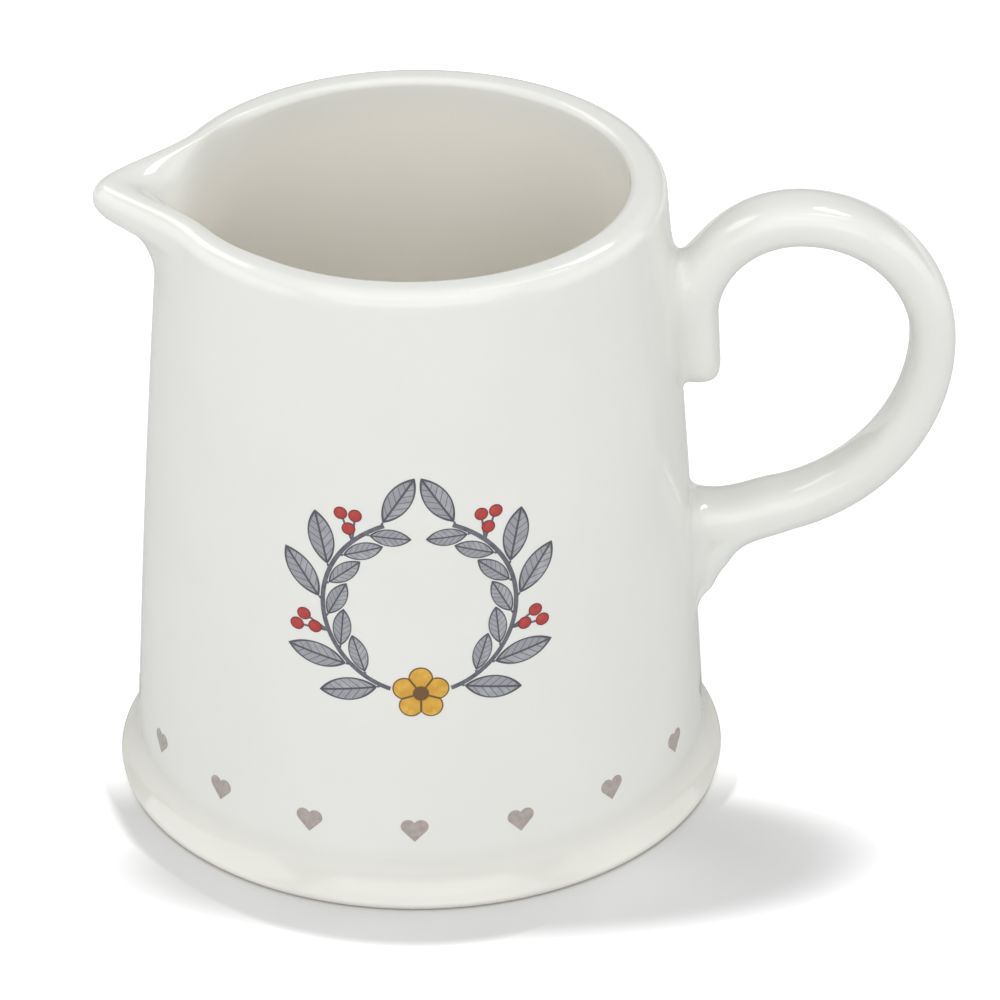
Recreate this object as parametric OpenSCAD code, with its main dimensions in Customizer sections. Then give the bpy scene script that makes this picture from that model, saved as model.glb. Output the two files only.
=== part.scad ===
// Glazed stoneware table pitcher with a strap handle, a pulled pouring lip and printed transfers
// Millimetres, +Z up, origin on the jug's axis at the table, handle towards +X, print towards -Y

/* [Body] */
// Height of the jug from the table to the rim
jug_h = 119.5; // [112:0.5:140]
// Outer radius of the wall at the rim
rim_r = 45; // [40:0.5:48]
// Outer radius of the wall just above the foot
waist_r = 52.9; // [49:0.1:56]
// How far the wall bows out of its straight taper at mid height
wall_bow = 0.45; // [0:0.05:1.5]
// Thickness of the wall
wall_t = 6.4; // [5.8:0.1:7.2]
// Radius of the rim's soft outer edge
rim_round = 3.2; // [2.4:0.1:3.6]
// Radius of the rim's inner edge
rim_edge = 1.4; // [0.8:0.1:1.8]
// Height of the inside floor above the table
floor_z = 7; // [5:0.5:10]
// Radius of the inside corner between floor and wall
floor_round = 9; // [5:0.5:14]

/* [Foot] */
// Widest radius of the flared foot
foot_r = 56.4; // [55:0.1:58]
// Height over which the foot flares out of the wall
foot_h = 9; // [6:0.5:10]
// Radius of the rounded edge at the table
foot_edge = 1.2; // [0.6:0.1:2]
// Width of the ring that the jug stands on
foot_ring_w = 5; // [3:0.5:9]
// Depth of the recess under the base
foot_recess = 1.5; // [0.8:0.1:2.5]

/* [Pouring lip] */
// How far the lip is pulled out beyond the rim
lip_reach = 11.8; // [9:0.2:13]
// Height of the wall that the lip is pulled out of
lip_h = 18.5; // [17:0.5:23]
// Half of the angle of the rim that the lip takes up
lip_half = 28.5; // [26:0.5:34]
// Angle past the lip's ends over which the soft roll of its inside runs out
roll_past = 9.5; // [6:0.5:14]
// Height over which the lip's inside turns into the inner wall
trough_turn = 9; // [6:0.5:11]

/* [Handle] */
// Thickness of the strap
strap_t = 8.2; // [7:0.1:9.4]
// Width of the strap
strap_w = 13.2; // [12:0.1:18]
// How far below the rim the strap leaves the wall at its upper end
pad_drop = 27.5; // [24.5:0.5:31.5]
// Length of the strap that lies against the wall below that
pad_len = 8.5; // [7:0.5:12]
// Radius of the bend from the wall up to the top of the loop
bend_r = 18; // [16:0.5:20]
// Radius of the shoulder over the fingers
shoulder_r = 25; // [23:0.5:27]
// Radius of the long curve back towards the wall
sweep_r = 35; // [33:0.5:37]
// Angle of that curve
sweep_a = 74; // [70:1:78]
// Radius of the bend down into the lower tail
tail_r = 11.5; // [9:0.5:12]
// Length of the lower tail along the wall
tail_len = 1; // [0.5:0.5:6]
// Depth by which the strap is pressed into the line of the wall
bite = 1.5; // [1.2:0.1:2.4]

/* [Slip joints] */
// Width and height of the bead of slip around each end of the handle
bead = 1.2; // [0.6:0.1:1.8]

/* [Transfers] */
// Thickness of the fired print
print_t = 0.2; // [0.1:0.05:0.4]
// Number of hearts round the jug
hearts = 17; // [9:1:20]
// Height of the middle of the hearts
heart_z = 14.9; // [13:0.1:24]
// Width of a heart
heart_w = 5; // [3:0.1:7]
// Turn of the first heart away from the front
heart_turn = -1.65; // [-10:0.05:10]
// Height of the middle of the wreath
wreath_z = 60; // [56:0.5:64]
// Radius of the wreath's stems
wreath_r = 17; // [15:0.5:19]
// Width of a stem
stem_w = 0.8; // [0.5:0.1:1.1]
// Length of a leaf outside the wreath
leaf_l = 10.4; // [7:0.1:11]
// Width of that leaf
leaf_w = 4.5; // [2.4:0.1:4.9]
// Length of a leaf inside the wreath
inner_leaf_l = 7.4; // [5:0.1:8]
// Width of that leaf
inner_leaf_w = 3.3; // [2:0.1:3.6]
// Distance from leaf to leaf along a stem
leaf_pitch = 6.6; // [6:0.1:9]
// Diameter of a berry
berry_d = 2.4; // [1.6:0.1:2.6]
// Radius of the flower at the foot of the wreath
flower_r = 5.2; // [3:0.1:6]

/* [Hidden] */
$fn = 120;

glaze = "#ece9e0";
heart_ink = "#a99f9a";
stem_ink = "#5d5e68";
leaf_ink = "#a7a9ad";
berry_ink = "#bf4a45";
flower_ink = "#e0b445";

// Heights where the wall's outline changes slope: up to the lip, then up to the rim's rounding
lip_z = jug_h - lip_h;
round_z = jug_h - rim_round;
edge_z = jug_h - rim_edge;
lip_rise = round_z - lip_z;
wall_steps = 7;
lip_steps = 9;
round_steps = 6;
wall_zs = [for (i = [0:wall_steps]) foot_h + (lip_z - foot_h) * i / wall_steps];
lip_zs = [for (i = [0:lip_steps]) lip_z + lip_rise * sin(90 * i / lip_steps)];
skin_zs = concat(wall_zs, [for (i = [1:lip_steps]) lip_zs[i]]);

// Outer radius of the wall at a height
function wall_part(z) = (z - foot_h) / (jug_h - foot_h);
function wall_r(z) =
    waist_r + (rim_r - waist_r) * wall_part(z) + 4 * wall_bow * wall_part(z) * (1 - wall_part(z));

// Rounding between two angles about a centre
function arc(x, y, r, a0, a1, steps) =
    [for (i = [0:steps]) let (a = a0 + (a1 - a0) * i / steps) [x + r * cos(a), y + r * sin(a)]];

// Outer radius of the flare of the foot at a height
flare_power = 2.2;
flare_steps = 8;
function flare_r(z) =
    waist_r + (foot_r - waist_r) * pow((foot_h - z) / (foot_h - foot_edge), flare_power);

// Inside corner of the floor, which is a rounding tangent to floor and wall
corner_z = floor_z + floor_round;
corner_r = wall_r(corner_z) - wall_t - floor_round;
inside_zs = [for (i = [wall_steps:-1:0]) if (wall_zs[i] > corner_z + 1) wall_zs[i]];

// Half of the body's section up to the lip
ring_in = foot_r - foot_edge - foot_ring_w;
body_section = concat(
    [[0, foot_recess], [ring_in - foot_recess, foot_recess], [ring_in, 0]],
    arc(foot_r - foot_edge, foot_edge, foot_edge, -90, 0, round_steps),
    [for (i = [1:flare_steps - 1])
        let (z = foot_edge + (foot_h - foot_edge) * i / flare_steps) [flare_r(z), z]],
    [for (z = wall_zs) [wall_r(z), z]],
    [for (z = inside_zs) [wall_r(z) - wall_t, z]],
    arc(corner_r, corner_z, floor_round, 0, -90, round_steps),
    [[0, floor_z]]
);

// How far out an arc has turned at a height above its foot
function turned_out(r, rise) = r - sqrt(r * r - rise * rise);

// Share of the lip's reach at a part of its height: a hollow arc, then a brow arc up to the edge
hollow_part = 0.8;
arcs_r = (lip_reach * lip_reach + lip_rise * lip_rise) / (2 * lip_reach);
function pull(t) = t < hollow_part
    ? turned_out(hollow_part * arcs_r, max(0, t) * lip_rise) / lip_reach
    : 1 - turned_out((1 - hollow_part) * arcs_r, (1 - t) * lip_rise) / lip_reach;

// Inside of the plain rim, from its top down, drawn in by a skin
function rim_inside(skin, drop) = concat(
    arc(wall_r(edge_z) - wall_t + rim_edge + skin, edge_z - drop, rim_edge, 90, 180, round_steps),
    [for (i = [lip_steps:-1:1]) [wall_r(lip_zs[i]) - wall_t + skin, lip_zs[i]]]
);

// Inside of the lip: a curve that leaves its top level and comes upright into the inner wall
lip_flat = 0.8;
trough_lead = 0.5;
function trough(top, foot, u) = let (v = 1 - u, near = 3 * u * v * v, far = 3 * u * u * v)
    top * (v * v * v + near) - [near * trough_lead * (top[0] - foot[0]), 0]
    + foot * (u * u * u + far) + [0, far * trough_turn];

// Section of the rim from a height upwards: drawn out, rolled over inside, with its walls drawn in by
// a skin and its top lowered by a drop
function rim_section(z0, out, roll, skin, drop) = let (
    zs = concat([z0], [for (i = [1:lip_steps]) lip_zs[i]]),
    edge_r = wall_r(round_z) + out - rim_round,
    top = [edge_r - lip_flat, jug_h - drop],
    foot = [wall_r(lip_z) - wall_t + skin, lip_z],
    inside = rim_inside(skin, drop),
    n = len(inside)
) concat(
    [for (z = zs) [wall_r(z) + out * pull((z - lip_z) / lip_rise) - skin, z]],
    arc(edge_r - skin, round_z - drop, rim_round, 90 / round_steps, 90, round_steps - 1),
    [for (j = [0:n - 1]) inside[j] + roll * (trough(top, foot, j / n) - inside[j])],
    [[wall_r(z0) - wall_t + skin, z0]]
);

// The lip's sector of the rim, as rings of that section, lapped a little way into the rest of the wall
lip_rings = 32;
lap_angle = 1.5;
lap_h = 1;
lap_skin = 0.03;
rim_skin = 0.05;
lip_skin = 0.12;
roll_half = lip_half + roll_past;
join_a = roll_half + lap_angle / 2;
lip_angles = concat(
    [-roll_half - lap_angle],
    [for (i = [0:lip_rings]) roll_half * (2 * i / lip_rings - 1)],
    [roll_half + lap_angle]
);

// Plan of the lip: nearly straight sides that meet in a rounded tip and run out into the rim
tip_a = 3.8;
plan_power = 2;
function soft(a) = sqrt(a * a + tip_a * tip_a) - tip_a;
function lip_out(a) = lip_reach * pow(max(0, 1 - soft(a) / soft(lip_half)), plan_power);

// How fully the inside rolls over: all of it across the tip, and less and less towards the plain rim
roll_core = 8;
function ease(t) = t * t * (3 - 2 * t);
function lip_roll(a) = ease(max(0, min(1, (roll_half - abs(a)) / (roll_half - roll_core))));

module pouring_lip() {
    rings = len(lip_angles);
    n = len(rim_section(lip_z, 0, 0, 0, 0));
    points = [
        for (a = lip_angles)
            for (p = rim_section(lip_z - lap_h, lip_out(a), lip_roll(a), lip_skin, lip_skin))
                [-p[0] * cos(a), -p[0] * sin(a), p[1]]
    ];
    sides = [
        for (i = [0:rings - 2])
            for (j = [0:n - 1])
                let (k = (j + 1) % n, a = i * n, b = a + n)
                    each [[a + j, a + k, b + k], [a + j, b + k, b + j]]
    ];
    ends = [
        [for (j = [n - 1:-1:0]) j],
        [for (j = [0:n - 1]) (rings - 1) * n + j]
    ];
    polyhedron(points, concat(sides, ends), convexity = 6);
}

module jug_body() {
    color(glaze) union() {
        rotate_extrude() polygon(body_section);
        rotate(180 + join_a)
            rotate_extrude(angle = 360 - 2 * join_a)
                polygon(rim_section(lip_z - lap_h, 0, 0, rim_skin, 0));
        pouring_lip();
    }
}

// All that lies within the wall's outer face
module wall_core() {
    rotate_extrude()
        polygon(concat([[0, foot_h]], [for (z = skin_zs) [wall_r(z), z]], [[0, round_z]]));
}

// A layer of even thickness on the wall's outer face
module wall_layer(t) {
    rotate_extrude()
        polygon(concat(
            [for (z = skin_zs) [wall_r(z), z]],
            [for (i = [len(skin_zs) - 1:-1:0]) [wall_r(skin_zs[i]) + t, skin_zs[i]]]
        ));
}

// Section of the strap: thickness along x, width along y, with round edges
module strap_section(grow) {
    side = (strap_w - strap_t) / 2;
    for (s = [-1, 1])
        translate([0, s * side]) circle(d = strap_t + 2 * grow);
    square([strap_t + 2 * grow, 2 * side], center = true);
}

// Bend of the strap about a centre in the X-Z plane, from one angle to another
module strap_bend(centre, r, a0, a1, grow) {
    translate([centre[0], 0, centre[1]])
        rotate([90, 0, 0])
            rotate_extrude(start = a0, angle = a1 - a0)
                translate([r, 0]) strap_section(grow);
}

// Straight run of the strap from one point of the X-Z plane to another
module strap_run(from, to, grow) {
    d = to - from;
    translate([from[0], 0, from[1]])
        rotate([0, atan2(d[0], d[1]), 0])
            linear_extrude(norm(d)) strap_section(grow);
}

// Rounded end of a strap that runs down the wall
module strap_end(at, grow) {
    translate([at[0], 0, at[1]])
        rotate([90, 0, 0])
            rotate_extrude(start = 180, angle = 180)
                intersection() {
                    strap_section(grow);
                    translate([0, -strap_w]) square(2 * strap_w);
                }
}

// Points of the handle's centre line in the X-Z plane
pad_z = jug_h - pad_drop;
pad_x = wall_r(pad_z - pad_len) + strap_t / 2 - bite;
pad_top = [pad_x, pad_z];
pad_end = [pad_x, pad_z - pad_len];
bend_c = pad_top + [bend_r, 0];
shoulder_c = bend_c + [0, bend_r - shoulder_r];
sweep_c = shoulder_c + [shoulder_r - sweep_r, 0];
sweep_end = sweep_c + sweep_r * [cos(sweep_a), -sin(sweep_a)];
arm_dir = [-sin(sweep_a), -cos(sweep_a)];

// The lower arm runs straight into the wall, and a tail bends out of it and down the wall
arm_reach = sweep_end[0] - wall_r(sweep_end[1]) + bite + 2;
arm_end = sweep_end + arm_dir * arm_reach / sin(sweep_a);
tail_thin = 0.9;
tail_x = wall_r(sweep_end[1] - tail_r) + strap_t / 2 - tail_thin - bite;
tail_run = (sweep_end[0] - tail_x - tail_r * (1 - cos(sweep_a))) / sin(sweep_a);
tail_start = sweep_end + arm_dir * tail_run;
tail_c = tail_start + tail_r * [cos(sweep_a), -sin(sweep_a)];
tail_top = tail_c - [tail_r, 0];
tail_end = tail_top - [0, tail_len];

// The whole strap, before the wall's line is taken out of it, with its curve and its arm lapped together
module strap(grow) {
    strap_end(pad_end, grow);
    strap_run(pad_end, pad_top, grow);
    strap_bend(bend_c, bend_r, 90, 180, grow);
    strap_bend(shoulder_c, shoulder_r, 0, 90, grow);
    strap_bend(sweep_c, sweep_r, -sweep_a, lap_angle, grow - lap_skin);
    strap_run(sweep_end - lap_h * arm_dir, arm_end, grow - 2 * lap_skin);
    strap_bend(tail_c, tail_r, 180 - sweep_a, 180, grow - tail_thin);
    strap_run(tail_end, tail_top, grow - tail_thin);
    strap_end(tail_end, grow - tail_thin);
}

module handle() {
    color(glaze) difference() {
        strap(0);
        wall_core();
    }
}

// Bead of slip round the handle, on the part of the wall between two heights
module slip_bead(z0, z1) {
    color(glaze) difference() {
        intersection() {
            wall_layer(bead);
            strap(bead);
            translate([0, -strap_w, z0]) cube([2 * foot_r, 2 * strap_w, z1 - z0]);
        }
        strap(0);
    }
}

joint_split_z = (pad_end[1] + sweep_end[1]) / 2;

module upper_slip_joint() {
    slip_bead(joint_split_z, jug_h);
}

module lower_slip_joint() {
    slip_bead(foot_h, joint_split_z);
}

// Heart between two round lobes and a point, centred on its own height
module heart_shape() {
    lobe_r = heart_w * 0.27;
    lobe_x = heart_w / 2 - lobe_r;
    lobe_y = heart_w * 0.18;
    tip_y = -heart_w * 0.45;
    reach = norm([lobe_x, lobe_y - tip_y]);
    side_a = atan2(lobe_y - tip_y, lobe_x) - asin(lobe_r / reach);
    lobe = arc(lobe_x, lobe_y, lobe_r, side_a - 90, 180 - acos(lobe_x / lobe_r), 12);
    polygon(concat([[0, tip_y]], lobe, [for (i = [11:-1:0]) [-lobe[i][0], lobe[i][1]]]));
}

// Shape printed on the wall: drawn in the X-Z plane and pressed onto the front of the jug
print_reach = max(waist_r, rim_r) + wall_bow + print_t + lap_h;
module printed() {
    intersection() {
        rotate([90, 0, 0]) linear_extrude(print_reach) children();
        wall_layer(print_t);
    }
}

module heart_transfers() {
    color(heart_ink)
        for (i = [0:hearts - 1])
            rotate(heart_turn + 360 * i / hearts)
                printed() translate([0, heart_z]) heart_shape();
}

// The wreath: two branches that rise from a flower and carry leaves, with berries at every third place
clear = 0.25;
leaf_lean = 36;
leaf_edge = stem_w / 2 + clear;
place_step = leaf_pitch / wreath_r * 180 / PI;
stem_start = 2 * asin((flower_r + clear) / (2 * wreath_r));
first_place = stem_start + place_step / 3;
function at_berry(k) = k % 3 == 2;
function out_angle(k) = first_place + place_step * k;
function in_angle(k) = out_angle(k) + place_step / 2;

// Leaves whose tips stay on their own side of the wreath's middle line
function out_tip(k) = (wreath_r + leaf_edge) * sin(out_angle(k)) + leaf_l * cos(out_angle(k) - leaf_lean);
function in_tip(k) = (wreath_r - leaf_edge) * sin(in_angle(k)) + inner_leaf_l * cos(in_angle(k) + leaf_lean);
all_places = [for (k = [0:floor((180 - first_place) / place_step)]) k];
out_places = [for (k = all_places) if (out_tip(k) > clear) k];
in_places = [for (k = all_places) if (in_tip(k) > clear) k];
stem_end = out_angle(max(out_places));

// Place on a branch, from the wreath's middle: x runs on along the branch and y out of the wreath
module on_branch(a, r) {
    translate([0, wreath_z])
        rotate(a - 90) translate([r, 0]) rotate(90) mirror([0, 1]) children();
}

// Both branches, the second being the first one's mirror image
module both_branches() {
    for (m = [0, 1])
        mirror([m, 0]) children();
}

// Pointed leaf between two arcs, from its stalk along x
module leaf_shape(l, w) {
    r = (l * l + w * w) / (4 * w);
    intersection() {
        translate([l / 2, r - w / 2]) circle(r);
        translate([l / 2, w / 2 - r]) circle(r);
    }
}

module wreath_stems() {
    color(stem_ink) printed()
        both_branches()
            translate([0, wreath_z])
                intersection() {
                    difference() {
                        circle(wreath_r + stem_w / 2);
                        circle(wreath_r - stem_w / 2);
                    }
                    rotate(stem_start - 90)
                        polygon(concat([[0, 0]], arc(0, 0, 2 * wreath_r, 0, stem_end - stem_start, 6)));
                }
}

module wreath_leaves() {
    color(leaf_ink) printed()
        both_branches() {
            for (k = out_places)
                if (!at_berry(k))
                    on_branch(out_angle(k), wreath_r + leaf_edge)
                        rotate(leaf_lean) leaf_shape(leaf_l, leaf_w);
            for (k = in_places)
                on_branch(in_angle(k), wreath_r - leaf_edge)
                    rotate(-leaf_lean) leaf_shape(inner_leaf_l, inner_leaf_w);
        }
}

// Berries stand in threes, in parts of their own size along and out of the branch
berry_spots = [[0.5, 0.75], [1.6, 1.2], [0.9, 2]];
module wreath_berries() {
    color(berry_ink) printed()
        both_branches()
            for (k = out_places)
                if (at_berry(k))
                    for (p = berry_spots)
                        on_branch(out_angle(k), wreath_r + stem_w / 2)
                            translate(p * berry_d) circle(d = berry_d);
}

// Five round petals about a middle
module flower_shape(r) {
    petal_r = r * 0.42;
    circle(r * 0.45);
    for (i = [0:4])
        rotate(90 + 72 * i) translate([r - petal_r, 0]) circle(petal_r);
}

module wreath_flowers() {
    color(flower_ink) printed()
        translate([0, wreath_z - wreath_r]) flower_shape(flower_r);
}

jug_body();
handle();
upper_slip_joint();
lower_slip_joint();
heart_transfers();
wreath_stems();
wreath_leaves();
wreath_berries();
wreath_flowers();
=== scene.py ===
import math
import bmesh
import bpy
from mathutils import Matrix, Vector


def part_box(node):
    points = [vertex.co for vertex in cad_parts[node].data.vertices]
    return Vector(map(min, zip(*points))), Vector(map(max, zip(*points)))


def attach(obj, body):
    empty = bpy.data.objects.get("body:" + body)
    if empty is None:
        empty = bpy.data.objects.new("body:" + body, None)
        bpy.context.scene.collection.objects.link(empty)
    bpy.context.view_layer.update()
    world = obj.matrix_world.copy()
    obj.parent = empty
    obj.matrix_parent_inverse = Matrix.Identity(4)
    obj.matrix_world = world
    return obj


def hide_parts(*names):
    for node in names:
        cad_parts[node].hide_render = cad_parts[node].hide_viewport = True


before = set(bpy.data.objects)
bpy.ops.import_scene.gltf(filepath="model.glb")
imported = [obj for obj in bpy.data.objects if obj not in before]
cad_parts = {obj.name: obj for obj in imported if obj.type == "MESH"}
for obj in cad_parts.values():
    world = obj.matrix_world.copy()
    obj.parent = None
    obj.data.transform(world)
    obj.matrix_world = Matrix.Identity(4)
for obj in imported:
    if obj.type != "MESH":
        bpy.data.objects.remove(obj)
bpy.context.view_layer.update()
mm = 0.001
scene = bpy.context.scene
scene.view_settings.view_transform = "Standard"
jugLow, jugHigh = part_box("jug_body")
handleLow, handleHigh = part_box("handle")
calc, vectorCalc = "ShaderNodeMath", "ShaderNodeVectorMath"
mapRange, mixer, noise = "ShaderNodeMapRange", "ShaderNodeMix", "ShaderNodeTexNoise"


def hexToLinear(code):
    parts = [int(code[i:i + 2], 16) / 255 for i in (1, 3, 5)]
    return [c / 12.92 if c <= 0.04045 else ((c + 0.055) / 1.055) ** 2.4 for c in parts] + [1.0]


# what goes into a socket is a node, whose first output is taken, or another socket, or a plain value
def addNode(tree, kind, links=None, **settings):
    node = tree.nodes.new(kind)
    for key, value in settings.items():
        setattr(node, key, value)
    for key, value in (links or {}).items():
        if isinstance(value, bpy.types.Node):
            value = value.outputs[0]
        if isinstance(value, bpy.types.NodeSocket):
            tree.links.new(value, node.inputs[key])
        else:
            node.inputs[key].default_value = value
    return node


# what a map range takes to go from nothing at one edge to its top at the other
def fade(value, edges, top=1.0):
    return {"Value": value, "From Min": edges[0], "From Max": edges[1], "To Max": top}


softly = {"interpolation_type": "SMOOTHSTEP"}


# the inputs are listed by kind, geometry first where there is one
def newTree(name, inputs, result=("Geometry", "Geometry")):
    tree = bpy.data.node_groups.new(name, "GeometryNodeTree")
    for kind, labels in inputs.items():
        for label in labels:
            tree.interface.new_socket(label, in_out="INPUT", socket_type="NodeSocket" + kind)
    tree.interface.new_socket(result[0], in_out="OUTPUT", socket_type="NodeSocket" + result[1])
    return tree, addNode(tree, "NodeGroupInput").outputs


def endTree(tree, shape, finish):
    solid = addNode(tree, "GeometryNodeRealizeInstances", {"Geometry": shape})
    done = addNode(tree, "GeometryNodeSetMaterial", {"Geometry": solid, "Material": finish})
    addNode(tree, "NodeGroupOutput", {0: done})


def bakeTree(name, tree, values, mesh=None):
    piece = bpy.data.objects.new(name, mesh or bpy.data.meshes.new(name))
    scene.collection.objects.link(piece)
    rule = piece.modifiers.new("rule", "NODES")
    rule.node_group = tree
    sockets = {s.name: s.identifier for s in tree.interface.items_tree if s.in_out == "INPUT"}
    for label, value in values.items():
        rule[sockets[label]] = value
    baked = bpy.data.meshes.new_from_object(piece.evaluated_get(bpy.context.evaluated_depsgraph_get()))
    piece.modifiers.remove(rule)
    piece.data = baked
    baked.name = name
    shape = bmesh.new()
    shape.from_mesh(baked)
    bmesh.ops.recalc_face_normals(shape, faces=shape.faces)
    shape.to_mesh(baked)
    shape.free()
    print("baked", name, len(baked.vertices), "points", len(baked.polygons), "faces")
    return piece


def helper(name, points, edges=(), faces=(), **attributes):
    mesh = bpy.data.meshes.new(name)
    mesh.from_pydata(points, edges, faces)
    for label, values in attributes.items():
        kind = "FLOAT_VECTOR" if hasattr(values[0], "__len__") else "FLOAT"
        layer = mesh.attributes.new(label, kind, "POINT")
        for i, value in enumerate(values):
            if kind == "FLOAT":
                layer.data[i].value = value
            else:
                layer.data[i].vector = value
    obj = bpy.data.objects.new(name, mesh)
    scene.collection.objects.link(obj)
    return obj


def helperLine(name, points, **attributes):
    return helper(name, points, [(i, i + 1) for i in range(len(points) - 1)], **attributes)


def clearAway(*helpers):
    for obj in helpers:
        bpy.data.objects.remove(obj)


def newFinish(name):
    finish = bpy.data.materials.new(name)
    finish.use_nodes = True
    return finish, finish.node_tree, finish.node_tree.nodes["Principled BSDF"]


def settle(piece, slot, *nodes):
    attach(piece, "root")
    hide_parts(*nodes)


# the cast wall: everything that is stuck or printed on it follows these sizes
jug = {
    "height": jugHigh.z,
    "footRadius": jugHigh.y,
    "rimRadius": 45 * mm,
    "waistRadius": 52.9 * mm,
    "bow": 0.45 * mm,
    "wall": 6.4 * mm,
    "rimRound": 3.2 * mm,
    "rimEdge": 1.4 * mm,
    "floor": 7 * mm,
    "floorRound": 9 * mm,
    "footHeight": 9 * mm,
    "footEdge": 1.2 * mm,
    "footRing": 5 * mm,
    "ringEdge": [(-0.45 * mm, 0.32 * mm), (-0.1 * mm, 0.06 * mm), (0.4 * mm, 0)],  # its worn inner edge
    "recess": 1.5 * mm,
    "flarePower": 2.2,
    "insideTintDepth": 8 * mm,  # this far below the rim the inside has its full cream and its painted fill light
    "discRows": 8,
    "edgeRows": 9,
    "flareRows": 16,
    "wallRows": 26,
    "roundRows": 12,
    "columns": 400,
    "weld": 0.002 * mm,
}


def wallRadius(z):
    t = (z - jug["footHeight"]) / (jug["height"] - jug["footHeight"])
    return jug["waistRadius"] + (jug["rimRadius"] - jug["waistRadius"]) * t + 4 * jug["bow"] * t * (1 - t)


# the same radius as a node group, for the trees that press things on the wall
wallSizes = {
    "Foot Height": jug["footHeight"],
    "Rim Height": jug["height"],
    "Waist Radius": jug["waistRadius"],
    "Rim Radius": jug["rimRadius"],
    "Bow": jug["bow"],
}
wallTree, wallIn = newTree("wallRadius", {"Float": ["Height", *wallSizes]}, ("Radius", "Float"))
rise = addNode(wallTree, calc, {0: wallIn["Height"], 1: wallIn["Foot Height"]}, operation="SUBTRACT")
full = addNode(wallTree, calc, {0: wallIn["Rim Height"], 1: wallIn["Foot Height"]}, operation="SUBTRACT")
part = addNode(wallTree, calc, {0: rise, 1: full}, operation="DIVIDE")
taper = addNode(wallTree, calc, {0: wallIn["Rim Radius"], 1: wallIn["Waist Radius"]}, operation="SUBTRACT")
straight = addNode(wallTree, calc, {0: part, 1: taper, 2: wallIn["Waist Radius"]}, operation="MULTIPLY_ADD")
rest = addNode(wallTree, calc, {0: 1.0, 1: part}, operation="SUBTRACT")
hump = addNode(wallTree, calc, {0: part, 1: rest}, operation="MULTIPLY")
bow4 = addNode(wallTree, calc, {0: wallIn["Bow"], 1: 4.0}, operation="MULTIPLY")
radius = addNode(wallTree, calc, {0: hump, 1: bow4, 2: straight}, operation="MULTIPLY_ADD")
addNode(wallTree, "NodeGroupOutput", {0: radius})

# glazed stoneware, slip cast and dipped: milky white with a wet gloss and a faint ripple in its reflections,
# creamier and lighter inside, the lightness painted fill light for the dim inside, darker and warmer towards
# the foot, and a dry biscuit ring where it stood in the kiln
glazeLook = {
    "thin": "#eeefeb",
    "thick": "#e8e9e3",
    # creamier and lighter than the outside: partly the glaze's cream, partly painted fill light for the dim
    # inside
    "inside": "#f4f1e9",
    # darker and warmer towards the foot, from 12 mm down to 3 mm
    "footTone": "#dedbd1",
    "footToneEdge": (12 * mm, 3 * mm),
    "footToneShare": 0.6,
    "biscuit": "#d8cbb6",
    "wipedEdge": (0.35 * mm, 0.2 * mm),
    "cloud": 22 * mm,
    "ripple": 9 * mm,
    "rippleDepth": 0.2 * mm,
    "rippleStrength": 0.12,
    "ior": 1.5,
    "roughness": 0.09,
    "haze": 0.03,
    "dryRoughness": 0.85,
}
glaze, tree, gloss = newFinish("glazed stoneware")
gloss.inputs["IOR"].default_value = glazeLook["ior"]
place = addNode(tree, "ShaderNodeTexCoord").outputs["Object"]
height = addNode(tree, "ShaderNodeSeparateXYZ", {0: place}).outputs["Z"]
cloud = addNode(tree, noise, {"Vector": place, "Scale": 1 / glazeLook["cloud"], "Detail": 3.0})
within = addNode(tree, "ShaderNodeAttribute", attribute_name="inside").outputs["Fac"]
atFoot = addNode(tree, mapRange, fade(height, glazeLook["footToneEdge"], glazeLook["footToneShare"]), **softly)
wiped = addNode(tree, mapRange, fade(height, glazeLook["wipedEdge"]), **softly)
coat = hexToLinear(glazeLook["thin"])
# the inside mix is partly the glaze's cream and partly painted fill light
for share, code in ((cloud, "thick"), (within, "inside"), (atFoot, "footTone"), (wiped, "biscuit")):
    mixed = addNode(tree, mixer, {0: share, 6: coat, 7: hexToLinear(glazeLook[code])}, data_type="RGBA")
    coat = mixed.outputs[2]  # sockets 6 and 7 are the two colours of a mix, and output 2 is the mixed one
tree.links.new(coat, gloss.inputs["Base Color"])
haze = addNode(tree, mapRange, {"Value": cloud, "To Min": glazeLook["roughness"] - glazeLook["haze"],
                                "To Max": glazeLook["roughness"] + glazeLook["haze"]})
dry = addNode(tree, mixer, {0: wiped, 2: haze, 3: glazeLook["dryRoughness"]})
tree.links.new(dry.outputs[0], gloss.inputs["Roughness"])
ripple = addNode(tree, noise, {"Vector": place, "Scale": 1 / glazeLook["ripple"], "Detail": 1.0})
wave = addNode(tree, "ShaderNodeBump", {"Strength": glazeLook["rippleStrength"],
                                        "Distance": glazeLook["rippleDepth"], "Height": ripple})
tree.links.new(wave.outputs[0], gloss.inputs["Normal"])
print("glaze mixed")

# the pouring lip: drawn out of the wall, with its inside rolled over into a trough
lip = {
    "height": 18.5 * mm,
    "half": math.radians(28.5),
    "tip": math.radians(3.8),  # how blunt its point is
    "plan": 2.0,
    "hollow": 0.8,  # share of its height under the brow
    "flat": 1.2 * mm,
    "turn": 10 * mm,
    "lead": 0.7,
    "edgeShare": 6 / 16,  # parts of the roll that the rim's inner edge and the wall below it take
    "wallShare": 9 / 16,
    "rollCore": math.radians(24),
    "rollHalf": math.radians(52),
    "rows": 24,
    "spare": 0.04 * mm,
}
lipZ = jug["height"] - lip["height"]
roundZ = jug["height"] - jug["rimRound"]
edgeZ = jug["height"] - jug["rimEdge"]
lipRise = roundZ - lipZ
lipReach = -jugLow.x - wallRadius(roundZ) - lip["spare"]
lipArc = (lipReach ** 2 + lipRise ** 2) / (2 * lipReach)


def arcTurn(r, up):
    return r - math.sqrt(r * r - up * up)


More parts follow.
